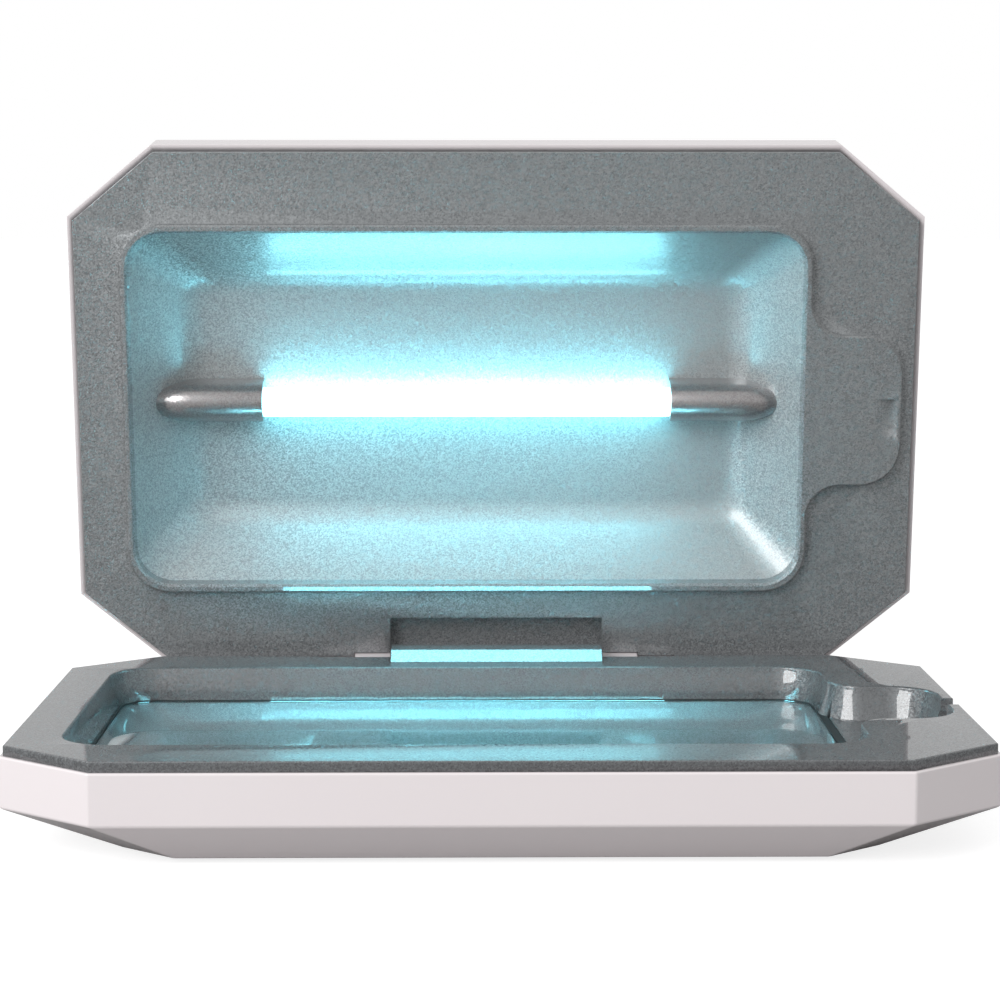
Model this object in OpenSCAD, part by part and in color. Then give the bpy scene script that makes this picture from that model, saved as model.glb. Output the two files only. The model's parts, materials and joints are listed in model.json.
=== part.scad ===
// Clamshell ultraviolet sanitiser box for a phone: an eight-sided base and lid,
// each with a silver rim frame, a reflector and a germicidal tube, joined by a
// friction hinge at the back. The origin is on the surface it stands on, under
// the middle of the open box. X runs to the right, Y to the back and Z up.

/* [Housing] */
// Outside width of the base and the lid
box_w = 220; // [214:1:224]
// Outside depth of the base and the lid
box_d = 137; // [134:1:142]
// Length of each cut corner along the front
corner_x = 22; // [18:0.5:24]
// Length of each cut corner along the side
corner_y = 18.4; // [15:0.2:20]
// Height of the sloped skirt
skirt_h = 9; // [8.5:0.1:9.5]
// Height of the upright wall above the skirt
wall_h = 11.6; // [11:0.1:13]
// Narrowing of each side from the wall to the underside
side_taper = 27; // [24:0.5:28]
// Narrowing of the front and back from the wall to the underside
front_taper = 9; // [7:0.5:10]
// Thickness of the moulded shell
shell_t = 2; // [1.8:0.1:2.2]

/* [Rim frame] */
// Height of the silver rim above the white shell
rim_h = 2.4; // [2:0.1:3]
// Step between the base's white shell and its silver rim
rim_step = 1; // [0.8:0.1:1.2]
// Step between the lid's white shell and its silver rim
lid_rim_step = 1.6; // [1:0.1:1.6]
// Height of the light-trap lip on the lid
lip_h = 2.2; // [1.6:0.1:2.4]
// Gap between the lip and the well it drops into
lip_gap = 0.7; // [0.6:0.05:0.8]
// Gap between the two rims when the lid is shut
rim_gap = 0.3; // [0.3:0.05:0.5]

/* [Chamber] */
// Sideways offset of the chamber from the middle of the box
chamber_x = -7.7; // [-8.5:0.1:-7]
// Half length of the lid's lip
lip_half_l = 89; // [88:0.1:89.5]
// Half depth of the lid's lip
lip_half_d = 48.7; // [48:0.1:49]
// Corner radius of the lid's lip
lip_r = 10.9; // [9:0.1:12]
// Depth of the well above the quartz plate
well_depth = 8; // [7.5:0.1:8.2]
// Depth of the lid's reflector below the rim
lid_depth = 17; // [16:0.1:17.5]

/* [Cable bay] */
// Distance of the bay's outer end from the middle of the box
bay_end = 105.4; // [104:0.1:105.5]
// Half width of the cable bay
bay_half = 20; // [18:0.5:21]
// Width of the cable notch in the rim
notch_w = 8; // [6:0.5:9]
// Depth of the cable notch below the rim
notch_depth = 4.4; // [4.2:0.1:5]

/* [Lamps] */
// Diameter of each lamp tube
lamp_d = 7.6; // [7:0.1:8]
// Length of tube that shows between the end covers
lamp_show = 107; // [100:1:110]
// Depth of the lid's lamp below the rim
lamp_depth = 10.6; // [10:0.1:11]
// Height of the base's lamp above the surface
base_lamp_z = 8; // [8:0.1:8.5]
// Distance of the base's lamp behind the middle of the base
base_lamp_y = 1.5; // [0:0.5:2]

/* [Hinge] */
// Distance of the hinge axis behind the back wall
hinge_back = 0.9; // [0.8:0.1:1.2]
// Distance of the hinge axis below the base's rim
hinge_drop = 4.4; // [4.3:0.1:4.6]
// Diameter of the hinge knuckles
knuckle_d = 6.6; // [6.2:0.1:6.6]
// Diameter of the steel hinge pins
pin_d = 2.5; // [2:0.1:2.5]
// Angle that the lid stands open
lid_open = 82.4; // [0:0.1:104]

/* [Hidden] */
$fn = 64;

// Colours
white = "#e6dee0";
silver = "#8f9294";
mirror_metal = "#c9d6da";
steel = "#b4b6ba";
lamp_glow = "#d9fbff";
glass_tint = "#bfe9ee";
rubber_grey = "#c4c4c6";
dark = "#2a2d30";
board_green = "#1f6b45";
wire_colour = "#d8d2c4";
copper = "#a8642c";

// Heights, up from the surface
foot_h = 1;
knee_z = foot_h + skirt_h;
shell_rim_z = knee_z + wall_h;
rim_z = shell_rim_z + rim_h;
floor_z = foot_h + shell_t;
inner_knee_z = knee_z + 1.4;
mid_z = rim_z + rim_gap / 2;

// Outline of the housing and of its cavity
half_w = box_w / 2;
half_d = box_d / 2;
low_cut = 0.56;
inner_floor_w = half_w - side_taper - 0.3;
inner_floor_d = half_d - front_taper - 0.8;

// Well, plate and reflector of the base
well_z = rim_z - well_depth;
gasket_t = 0.3;
rebate = 0.3;
plate_t = 1.6;
plate_z = well_z - gasket_t - plate_t;
plate_l = lip_half_l + 0.2;
plate_d = lip_half_d + 0.3;
sheet_t = 0.8;
well_edge = 0.5;
lip_edge = 0.6;
pan_floor_z = 4;
pan_l = 70;
pan_d = 28;
pan_mid_z = 9;
pan_mid_l = 76.6;
pan_mid_d = 47.1;
base_cap_r = 4.6;

// Chamber and reflector of the lid, measured with the lid lying on its back
opening_l = lip_half_l - 2;
opening_d = lip_half_d - 2.3;
opening_r = 9.5;
lid_pan_z = rim_z - lid_depth;
lid_pan_run = lid_depth - rim_h;
lid_lamp_z = rim_z - lamp_depth;
lid_cap_r = 5.1;

// Lamps
lamp_r = lamp_d / 2;
tube_half = 69;
cap_start = lamp_show / 2;
boot_r = 2.4;
boot_start = tube_half + 0.2;
boot_end = 83;

// Hinge
hinge_y = half_d + hinge_back;
hinge_z = rim_z - hinge_drop;
lid_hinge_z = 2 * mid_z - hinge_z;
knuckle_r = knuckle_d / 2;
pin_r = pin_d / 2;
centre_half = 27.6;
lid_knuckle = [28.2, 37.4];
end_knuckle = [37.9, 46.5];
swing_r = knuckle_r + 0.7;
cover_y = 56.8;
cover_h = 2.7;
cover_run = 4.2;
pocket_half = 28.1;
pocket_y = cover_y - 0.6;
pocket_depth = 3.5;

// Fasteners
front_screw_x = 60;
back_screw_x = 46;
screw_y = 54.7;
screws = [
    [-front_screw_x, -screw_y], [0, -screw_y], [front_screw_x, -screw_y],
    [-back_screw_x, screw_y], [back_screw_x, screw_y]
];
boss_z = 8;
lug_y = lip_half_d + 3.9;
lugs = [[-30, -lug_y], [30, -lug_y], [-24, lug_y], [24, lug_y], [chamber_x - lip_half_l - 3.9, 0]];

// Boards and sockets
board_z = 9.6;
board_t = 1.6;
board_top = board_z + board_t;
board_x = [50, 84];
board_y = [49, 62.4];
post_y = 51.2;
post_x = [54, 76];
socket_back = half_d - 0.4;
usb_a_x = 61;
usb_c_x = 76;
inlet_x = -64;

// Magnets and sensor
magnet_y = -58.5;
catch_x = 40;
sensor_x = 82;
magnet_r = 3;

// Feet
foot_x = 71.5;
foot_y = 44;
foot_size = [9, 15];

// The lid stands back past the hinge, and the origin is under the middle of the whole
lid_top_y = front_taper + hinge_back;
lid_top_z = 2 * mid_z - foot_h - hinge_z;
lid_back = hinge_y - lid_top_y * cos(lid_open) + lid_top_z * sin(lid_open);
middle_y = (lid_back - half_d) / 2;

// ---- Outlines ----

// Corner points of an eight-sided outline
function octagon(w, d, cut) = [
    [w - cut * corner_x, -d], [w, -d + cut * corner_y], [w, d - cut * corner_y],
    [w - cut * corner_x, d], [cut * corner_x - w, d], [-w, d - cut * corner_y],
    [-w, cut * corner_y - d], [cut * corner_x - w, -d]
];

// The housing's outline moved in by a distance on every side
function inset_cut(t) = 1 - t * (1 / corner_x + 1 / corner_y
    - sqrt(1 / (corner_x * corner_x) + 1 / (corner_y * corner_y)));
function housing(t) = octagon(half_w - t, half_d - t, inset_cut(t));

// Points along a round stretch
function arc(centre, r, from, to, steps = 9) = [
    for (i = [0:steps]) centre + r * [cos(from + (to - from) * i / steps), sin(from + (to - from)
        * i / steps)]
];

// Rounded rectangle about the chamber's centre
function rounded(l, d, r) = concat(
    arc([chamber_x + l - r, r - d], r, -90, 0),
    arc([chamber_x + l - r, d - r], r, 0, 90),
    arc([chamber_x - l + r, d - r], r, 90, 180),
    arc([chamber_x - l + r, r - d], r, 180, 270)
);

// The lip's outline with the cable bay's tongue, moved out by a distance
bay_r = 10.4;
bay_fillet = 8.5;
lip_end = chamber_x + lip_half_l;
function lip_outline(g) = concat(
    arc([bay_end - bay_r, bay_r - bay_half], bay_r + g, -90, 0),
    arc([bay_end - bay_r, bay_half - bay_r], bay_r + g, 0, 90),
    arc([lip_end + bay_fillet, bay_half + bay_fillet], bay_fillet - g, 270, 180),
    arc([lip_end - lip_r, lip_half_d - lip_r], lip_r + g, 0, 90),
    arc([chamber_x - lip_half_l + lip_r, lip_half_d - lip_r], lip_r + g, 90, 180),
    arc([chamber_x - lip_half_l + lip_r, lip_r - lip_half_d], lip_r + g, 180, 270),
    arc([lip_end - lip_r, lip_r - lip_half_d], lip_r + g, 270, 360),
    arc([lip_end + bay_fillet, -bay_half - bay_fillet], bay_fillet - g, 180, 90)
);

// Solid through a stack of outlines, each given as [points, height]
module loft(rings) {
    n = len(rings[0][0]);
    last = len(rings) - 1;
    points = [for (ring = rings) for (p = ring[0]) [p[0], p[1], ring[1]]];
    sides = [for (k = [0:last - 1]) for (i = [0:n - 1]) let (a = k * n, b = a + n, j = (i + 1) % n)
        each [[a + i, b + i, b + j], [a + i, b + j, a + j]]];
    base = [for (i = [0:n - 1]) i];
    top = [for (i = [0:n - 1]) last * n + n - 1 - i];
    polyhedron(points = points, faces = concat([base], sides, [top]));
}

// Upright solid on an outline
module prism(points, z0, z1) {
    translate([0, 0, z0]) linear_extrude(z1 - z0) polygon(points);
}

// Ring between two outlines
module band(outer, inner, z0, z1) {
    difference() {
        prism(outer, z0, z1);
        prism(inner, z0 - 1, z1 + 1);
    }
}

// Box from one corner to the opposite one
module block(low, high) {
    translate(low) cube(high - low);
}

// Round bar along X
module bar_x(x0, x1, y, z, r) {
    translate([x0, y, z]) rotate([0, 90, 0]) cylinder(h = x1 - x0, r = r);
}

// Upright round bar
module peg(x, y, z0, z1, r) {
    translate([x, y, z0]) cylinder(h = z1 - z0, r = r);
}

// Side profile, drawn in Y and Z, carried from x0 to x1
module profile_x(x0, x1, points) {
    translate([x0, 0, 0]) rotate([90, 0, 90]) linear_extrude(x1 - x0) polygon(points);
}

// Both hands of a piece
module pair() {
    children();
    mirror([1, 0, 0]) children();
}

// Wire swept along a list of points, as an eight-sided tube
module wire(points, r) {
    sides = 8;
    last = len(points) - 1;
    rings = [for (i = [0:last]) let (
        way = points[min(i + 1, last)] - points[max(i - 1, 0)],
        d = way / norm(way),
        across = cross([0, 0, 1], d),
        u = across / norm(across),
        v = cross(d, u)
    ) for (k = [0:sides - 1]) points[i] + r * (cos(360 * k / sides) * u + sin(360 * k / sides) * v)];
    skin = [for (i = [0:last - 1]) for (k = [0:sides - 1])
        let (a = i * sides, b = a + sides, j = (k + 1) % sides)
        each [[a + k, b + k, b + j], [a + k, b + j, a + j]]];
    start = [for (k = [0:sides - 1]) k];
    end = [for (k = [0:sides - 1]) last * sides + sides - 1 - k];
    polyhedron(points = rings, faces = concat([start], skin, [end]));
}

// ---- Placing ----

// The base stands with the whole box centred on the origin
module in_base() {
    translate([0, -middle_y, 0]) children();
}

// The lid is drawn on its back, turned over on to the base, then swung open
module in_lid() {
    in_base()
        translate([0, hinge_y, hinge_z]) rotate([-lid_open, 0, 0]) translate([0, -hinge_y, -hinge_z])
            translate([0, 0, 2 * mid_z]) mirror([0, 0, 1]) children();
}

// ---- Parts shared by the base and the lid ----

// Eight-sided tray with a sloped skirt
module tray() {
    difference() {
        union() {
            loft([[octagon(half_w - side_taper, half_d - front_taper, low_cut), foot_h],
                [octagon(half_w, half_d, 1), knee_z]]);
            prism(housing(0), knee_z, shell_rim_z);
        }
        loft([[octagon(inner_floor_w, inner_floor_d, low_cut), floor_z],
            [housing(shell_t), inner_knee_z]]);
        prism(housing(shell_t), inner_knee_z, shell_rim_z + 1);
    }
}

// Rim frame before its openings are cut: a deck with a locating skirt under it
module deck(step) {
    prism(housing(step), shell_rim_z, rim_z);
    band(housing(shell_t + 0.15), housing(shell_t + 1.65), shell_rim_z - 4.6, shell_rim_z);
}

// Glass tube, drawn at a height
module lamp_tube(z) {
    bar_x(chamber_x - tube_half, chamber_x + tube_half, 0, z, lamp_r);
}

// Rubber boots on the two ends of a tube
module lamp_boots(z) {
    translate([chamber_x, 0, 0]) pair() bar_x(boot_start, boot_end, 0, z, boot_r);
}

// Round-nosed cover over one end of a tube, on a saddle that stands on the reflector
module lamp_cap(side, z, r, foot_z) {
    translate([chamber_x, 0, 0]) mirror([side < 0 ? 1 : 0, 0, 0]) difference() {
        union() {
            bar_x(cap_start, boot_end, 0, z, r);
            block([cap_start, -r, foot_z], [boot_end, r, z]);
        }
        bar_x(cap_start - 1, tube_half + 0.1, 0, z, lamp_r + 0.1);
        bar_x(tube_half, boot_end + 1, 0, z, boot_r + 0.1);
    }
}

// Countersunk or cheese-head screw pointing up, with its head's underside at z
module screw(x, y, z, length, r, head_r, head_h) {
    peg(x, y, z, z + length, r);
    difference() {
        peg(x, y, z - head_h, z, head_r);
        for (a = [0, 90]) translate([x, y, z - head_h]) rotate(a)
            cube([head_r * 1.2, r * 0.5, head_h], center = true);
    }
}

// ---- Base ----

// Knuckles of the base, with the ramps that carry them on the back wall
module base_knuckle(x0, x1) {
    bar_x(x0, x1, hinge_y, hinge_z, knuckle_r);
    profile_x(x0, x1, [
        [half_d - shell_t, knee_z + 0.6], [half_d, knee_z + 0.6], [hinge_y + knuckle_r, hinge_z - 2.6],
        [hinge_y + knuckle_r, hinge_z], [hinge_y - knuckle_r, hinge_z], [hinge_y - knuckle_r, hinge_z - 4]
    ]);
}

module base_shell() {
    color(white) difference() {
        union() {
            tray();
            pair() block([25, half_d - 6, inner_knee_z], [48, half_d - shell_t + 0.1, shell_rim_z - 5]);
            base_knuckle(-centre_half, centre_half);
            pair() base_knuckle(end_knuckle[0], end_knuckle[1]);
            for (s = screws) peg(s[0], s[1], floor_z - 0.5, boss_z, 3.2);
            pair() for (x = post_x) peg(x, post_y, floor_z - 0.5, board_z, 2.2);
        }
        // Room for the lid's knuckles
        pair() {
            bar_x(centre_half + 0.2, end_knuckle[0] - 0.1, hinge_y, hinge_z, swing_r);
            block([centre_half + 0.2, hinge_y - swing_r, hinge_z],
                [end_knuckle[0] - 0.1, hinge_y + 9, rim_z]);
        }
        // Pin bores
        pair() bar_x(16, end_knuckle[1] + 1, hinge_y, hinge_z, pin_r + 0.01);
        for (s = screws) {
            peg(s[0], s[1], 0, boss_z + 1, 1.4);
            peg(s[0], s[1], 0, floor_z + 0.4, 2.7);
        }
        pair() for (x = post_x) peg(x, post_y, board_z - 4, board_z + 1, 0.82);
        // Sockets in the back wall
        block([usb_a_x - 6.8, half_d - 4, board_top - 0.2], [usb_a_x + 6.8, half_d + 1, board_top + 5.9]);
        block([usb_c_x - 4.8, half_d - 4, board_top - 0.2], [usb_c_x + 4.8, half_d + 1, board_top + 3.6]);
        translate([inlet_x, half_d - 4, board_top + 4.2]) rotate([-90, 0, 0]) cylinder(h = 6, r = 3.9);
        // Cable notch in the right wall
        block([half_w - 3, -notch_w / 2 + 0.2, rim_z - notch_depth], [half_w + 1, notch_w / 2 + 0.2, rim_z]);
    }
}

module base_bezel() {
    color(silver) difference() {
        union() {
            difference() {
                union() {
                    deck(rim_step);
                    intersection() {
                        prism(lip_outline(lip_gap + 1.5), plate_z, shell_rim_z);
                        prism(housing(shell_t + 0.15), plate_z - 1, rim_z);
                    }
                }
                // Well with a softened edge
                loft([[lip_outline(-1.5), plate_z - 1], [lip_outline(-1.5), well_z],
                    [lip_outline(lip_gap), rim_z - 2.6],
                    [lip_outline(lip_gap), rim_z - well_edge],
                        [lip_outline(lip_gap + well_edge), rim_z + 0.01]]);
            }
            // Floor of the cable bay, level with the plate
            intersection() {
                prism(lip_outline(0.1), plate_z, well_z - gasket_t);
                block([lip_end - 1, -bay_half - 12, 0], [half_w, bay_half + 12, rim_z]);
            }
            for (s = screws) peg(s[0], s[1], boss_z, shell_rim_z, 3);
            for (p = lugs) peg(p[0], p[1], plate_z, shell_rim_z, 2.3);
            for (x = [-catch_x, catch_x]) peg(x, magnet_y, shell_rim_z - 2.4, shell_rim_z, 4.2);
            for (x = [sensor_x - 7, sensor_x + 5]) peg(x, magnet_y, shell_rim_z - 3.4, shell_rim_z, 0.9);
        }
        // Pocket that the plate is fitted into from below
        prism(rounded(plate_l + 0.3, plate_d + 0.3, lip_r), plate_z - 1, well_z);
        for (s = screws) peg(s[0], s[1], boss_z - 1, shell_rim_z - 3.6, 1.12);
        for (p = lugs) peg(p[0], p[1], plate_z - 1, shell_rim_z - 1, 0.82);
        for (x = [-catch_x, catch_x]) peg(x, magnet_y, shell_rim_z - 3, shell_rim_z, magnet_r + 0.1);
        // Back edge cleared for the hinge
        block([-end_knuckle[1] - 0.4, hinge_y - knuckle_r - 0.3, shell_rim_z - 8],
            [end_knuckle[1] + 0.4, hinge_y, rim_z + 1]);
        pair() block([centre_half + 0.1, hinge_y - swing_r - 0.2, shell_rim_z - 8],
            [end_knuckle[0], hinge_y, rim_z + 1]);
        // Relief for the power inlet's collar
        block([inlet_x - 4.2, half_d - 4.6, shell_rim_z - 5], [inlet_x + 4.2, half_d - 1, board_top + 8.2]);
        // Cable notch
        block([bay_end - 2, -notch_w / 2 + 0.2, rim_z - notch_depth],
            [half_w + 1, notch_w / 2 + 0.2, rim_z + 1]);
    }
}

module hinge_cover() {
    color(silver) profile_x(-centre_half, centre_half, [
        [cover_y, rim_z], [hinge_y - knuckle_r - 0.2, rim_z], [hinge_y - knuckle_r - 0.2, rim_z - 0.8],
        [hinge_y + 2.5, rim_z - 0.8], [hinge_y + 2.5, rim_z + 0.6], [hinge_y + 0.1, rim_z + cover_h],
        [cover_y + cover_run, rim_z + cover_h]
    ]);
}

// Inside of the base's reflector, moved in by a gap: sloped ends, upright long walls
module trough(gap, top_z) {
    loft([[rounded(pan_l - gap, pan_d - gap, 5), pan_floor_z],
        [rounded(pan_mid_l - gap, pan_mid_d - gap, 7), pan_mid_z],
        [rounded(plate_l - 1.8 - gap, plate_d - 1.8 - gap, 9), top_z]]);
}

module base_reflector() {
    pan_top = plate_z;
    color(mirror_metal) difference() {
        union() {
            loft([[rounded(pan_l + 1.4, pan_d + 1.2, 6), pan_floor_z - sheet_t],
                [rounded(pan_mid_l + 1, pan_mid_d + sheet_t, 8), pan_mid_z - 0.4],
                [rounded(plate_l - 0.2, plate_d - 0.4, 10), pan_top - 0.1]]);
            prism(rounded(plate_l + 1.9, plate_d + 1.7, lip_r + 1), pan_top - sheet_t, pan_top);
            for (p = lugs) peg(p[0], p[1], pan_top - sheet_t, pan_top, 2.3);
        }
        trough(0, pan_top + 0.1);
        translate([chamber_x, base_lamp_y, 0]) pair() bar_x(tube_half, 90, 0, base_lamp_z, boot_r + 0.1);
        for (p = lugs) peg(p[0], p[1], pan_top - 2, pan_top + 1, 1);
    }
}

// The plate's rim is rebated, and the gasket lies in the rebate
module quartz_plate() {
    top_z = plate_z + plate_t;
    color(glass_tint, 0.5) {
        prism(rounded(plate_l, plate_d, lip_r), plate_z, top_z - rebate);
        prism(rounded(lip_half_l - 1.9, lip_half_d - 1.9, lip_r - 1.9), top_z - rebate - 0.1, top_z);
    }
}

module plate_gasket() {
    color(dark) band(rounded(plate_l, plate_d, lip_r), rounded(lip_half_l - 1.8, lip_half_d - 1.8,
        lip_r - 1.8),
        well_z - gasket_t - rebate, well_z);
}

module base_lamp_tube() {
    color(lamp_glow) translate([0, base_lamp_y, 0]) lamp_tube(base_lamp_z);
}

// A cover trimmed to the inside of the base's reflector
module base_lamp_cap(side) {
    color(steel) intersection() {
        translate([0, base_lamp_y, 0]) lamp_cap(side, base_lamp_z, base_cap_r, pan_floor_z);
        trough(0.1, plate_z);
    }
}

module base_lamp_boots() {
    color(dark) translate([0, base_lamp_y, 0]) lamp_boots(base_lamp_z);
}

// Circuit board drilled for its two screws
module board(side) {
    mirror([side < 0 ? 1 : 0, 0, 0]) difference() {
        block([board_x[0], board_y[0], board_z], [board_x[1], board_y[1], board_top]);
        for (x = post_x) peg(x, post_y, board_z - 1, board_top + 1, 1);
    }
}

module driver_board() {
    color(board_green) board(-1);
}

module driver_transformers() {
    back = board_y[1] - 0.5;
    color(copper) for (x = [-76.2, -84]) {
        block([x, back - 7, board_top], [x + 7, back, board_top + 1]);
        block([x + 1, back - 6.4, board_top + 1], [x + 6, back - 0.6, board_top + 4.4]);
    }
}

module driver_capacitors() {
    color(dark) for (p = [[-55, 57], [-80.5, 51.5]]) peg(p[0], p[1], board_top, board_top + 2, 1.4);
}

module power_inlet() {
    color(dark) {
        difference() {
            block([inlet_x - 4.4, 54, board_top], [inlet_x + 4.4, half_d - 4.4, board_top + 8.6]);
            translate([inlet_x, 56, board_top + 4.2]) rotate([-90, 0, 0]) cylinder(h = 20, r = 2.75);
        }
        difference() {
            translate([inlet_x, half_d - 4.4, board_top + 4.2]) rotate([-90, 0, 0]) cylinder(h = 4, r = 3.6);
            translate([inlet_x, 56, board_top + 4.2]) rotate([-90, 0, 0]) cylinder(h = 20, r = 2.75);
        }
        translate([inlet_x, 55, board_top + 4.2]) rotate([-90, 0, 0]) cylinder(h = 10, r = 1);
    }
}

module charging_board() {
    color(board_green) board(1);
}

module usb_socket_a() {
    color(steel) difference() {
        block([usb_a_x - 6.55, socket_back - 13.6, board_top],
            [usb_a_x + 6.55, socket_back, board_top + 5.7]);
        block([usb_a_x - 6.25, socket_back - 9, board_top + 0.3],
            [usb_a_x + 6.25, socket_back + 1, board_top + 5.4]);
    }
    color(dark) block([usb_a_x - 5.6, socket_back - 9.1, board_top + 2.9],
        [usb_a_x + 5.6, socket_back - 1, board_top + 4.7]);
}

module usb_socket_c() {
    color(steel) difference() {
        union() {
            for (s = [-1, 1]) translate([usb_c_x + s * 2.9, socket_back - 7.6, board_top + 1.65])
                rotate([-90, 0, 0])
                cylinder(h = 7.6, r = 1.6);
            block([usb_c_x - 2.9, socket_back - 7.6, board_top],
                [usb_c_x + 2.9, socket_back, board_top + 3.25]);
        }
        for (s = [-1, 1]) translate([usb_c_x + s * 2.9, socket_back - 6, board_top + 1.65])
            rotate([-90, 0, 0])
            cylinder(h = 7, r = 1.3);
        block([usb_c_x - 2.9, socket_back - 6, board_top + 0.35],
            [usb_c_x + 2.9, socket_back + 1, board_top + 2.95]);
    }
    color(dark) block([usb_c_x - 3, socket_back - 6.1, board_top + 1.3],
        [usb_c_x + 3, socket_back - 1, board_top + 2]);
}

module wire_connectors() {
    color(white) pair() block([board_x[0] + 0.4, board_y[0] + 0.4, board_top],
        [board_x[0] + 2.3, board_y[0] + 3.4, board_top + 1.8]);
}

// Leads of the base: between the boards, and from each end of the lamp
module base_wiring() {
    lead_y = board_y[0] + 1.1;
    lead_z = board_top + 0.9;
    lead_r = 0.7;
    left_end = chamber_x - boot_end;
    right_end = chamber_x + boot_end;
    color(wire_colour) {
        wire([[-board_x[0] - 0.3, lead_y, lead_z], [board_x[0] + 0.3, lead_y, lead_z]], lead_r);
        wire([[left_end, base_lamp_y, base_lamp_z], [left_end - 2, base_lamp_y, base_lamp_z],
            [-95, 6, 10.5], [-95, 46, 12], [-board_x[1] - 0.3, 51, 12.2]], lead_r);
        wire([[right_end, base_lamp_y, base_lamp_z], [right_end + 3, base_lamp_y, base_lamp_z],
            [86, 8, 10.5], [90, 32, 12], [board_x[1] + 0.3, 51, 12.2]], lead_r);
    }
}

module lid_sensor_board() {
    color(board_green) difference() {
        block([sensor_x - 9, magnet_y - 3, shell_rim_z - 2.4],
            [sensor_x + 7, magnet_y + 3, shell_rim_z - 1.4]);
        for (x = [sensor_x - 7, sensor_x + 5]) peg(x, magnet_y, shell_rim_z - 3, shell_rim_z, 1);
    }
    color(dark) block([sensor_x - 2, magnet_y - 1, shell_rim_z - 1.4],
        [sensor_x + 1, magnet_y + 1, shell_rim_z - 0.3]);
}

module catch_plates() {
    color(steel) for (x = [-catch_x, catch_x]) peg(x, magnet_y, shell_rim_z - 2, shell_rim_z, magnet_r);
}

module hinge_pin(side) {
    color(steel) mirror([side < 0 ? 1 : 0, 0, 0]) bar_x(17, end_knuckle[1], hinge_y, hinge_z, pin_r);
}

module hinge_pin_left() {
    hinge_pin(-1);
}

module hinge_pin_right() {
    hinge_pin(1);
}

module hinge_washers() {
    color(dark) pair() for (x = [centre_half + 0.25, end_knuckle[0] - 0.45]) difference() {
        bar_x(x, x + 0.3, hinge_y, hinge_z, 2.6);
        bar_x(x - 1, x + 1, hinge_y, hinge_z, pin_r + 0.02);
    }
}

module foot(side_x, side_y) {
    r = 3;
    color(rubber_grey) translate([side_x * foot_x, side_y * foot_y, 0]) {
        for (x = [-1, 1]) for (y = [-1, 1])
            translate([x * (foot_size[0] / 2 - r), y * (foot_size[1] / 2 - r), 0])
                cylinder(h = foot_h, r = r);
        block([-foot_size[0] / 2, r - foot_size[1] / 2, 0],
            [foot_size[0] / 2, foot_size[1] / 2 - r, foot_h]);
        block([r - foot_size[0] / 2, -foot_size[1] / 2, 0],
            [foot_size[0] / 2 - r, foot_size[1] / 2, foot_h]);
    }
}

module foot_front_left() {
    foot(-1, -1);
}

module foot_front_right() {
    foot(1, -1);
}

module foot_back_left() {
    foot(-1, 1);
}

module foot_back_right() {
    foot(1, 1);
}

module housing_screws() {
    color(steel) for (s = screws) screw(s[0], s[1], floor_z + 0.4, 13, 1.1, 2.4, 1.6);
}

module base_reflector_screws() {
    color(steel) for (p = lugs) screw(p[0], p[1], plate_z - sheet_t, 6, 0.8, 1.6, 0.9);
}

module board_screws() {
    color(steel) pair() for (x = post_x) translate([0, 0, 2 * board_top]) mirror([0, 0, 1])
        screw(x, post_y, board_top, 5, 0.8, 1.5, 0.8);
}

// ---- Lid, drawn lying on its back with its rim up ----

module lid_shell() {
    color(white) difference() {
        union() {
            tray();
            pair() {
                bar_x(lid_knuckle[0], lid_knuckle[1], hinge_y, lid_hinge_z, knuckle_r);
                profile_x(lid_knuckle[0], lid_knuckle[1], [
                    [half_d - shell_t, knee_z + 6], [half_d, knee_z + 6], [hinge_y + knuckle_r, rim_z - 0.5],
                    [hinge_y + knuckle_r, lid_hinge_z], [hinge_y - knuckle_r, lid_hinge_z],
                    [hinge_y - knuckle_r, shell_rim_z - 1]
                ]);
            }
        }
        pair() bar_x(lid_knuckle[0] - 1, lid_knuckle[1] + 1, hinge_y, lid_hinge_z, pin_r + 0.05);
        // The hinge cover passes under the back wall
        block([-pocket_half - 0.2, half_d - shell_t - 0.1, rim_z - pocket_depth],
            [pocket_half + 0.2, half_d + 1, rim_z]);
        peg(0, -48, 0, floor_z + 1, 2.6);
    }
}

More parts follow.
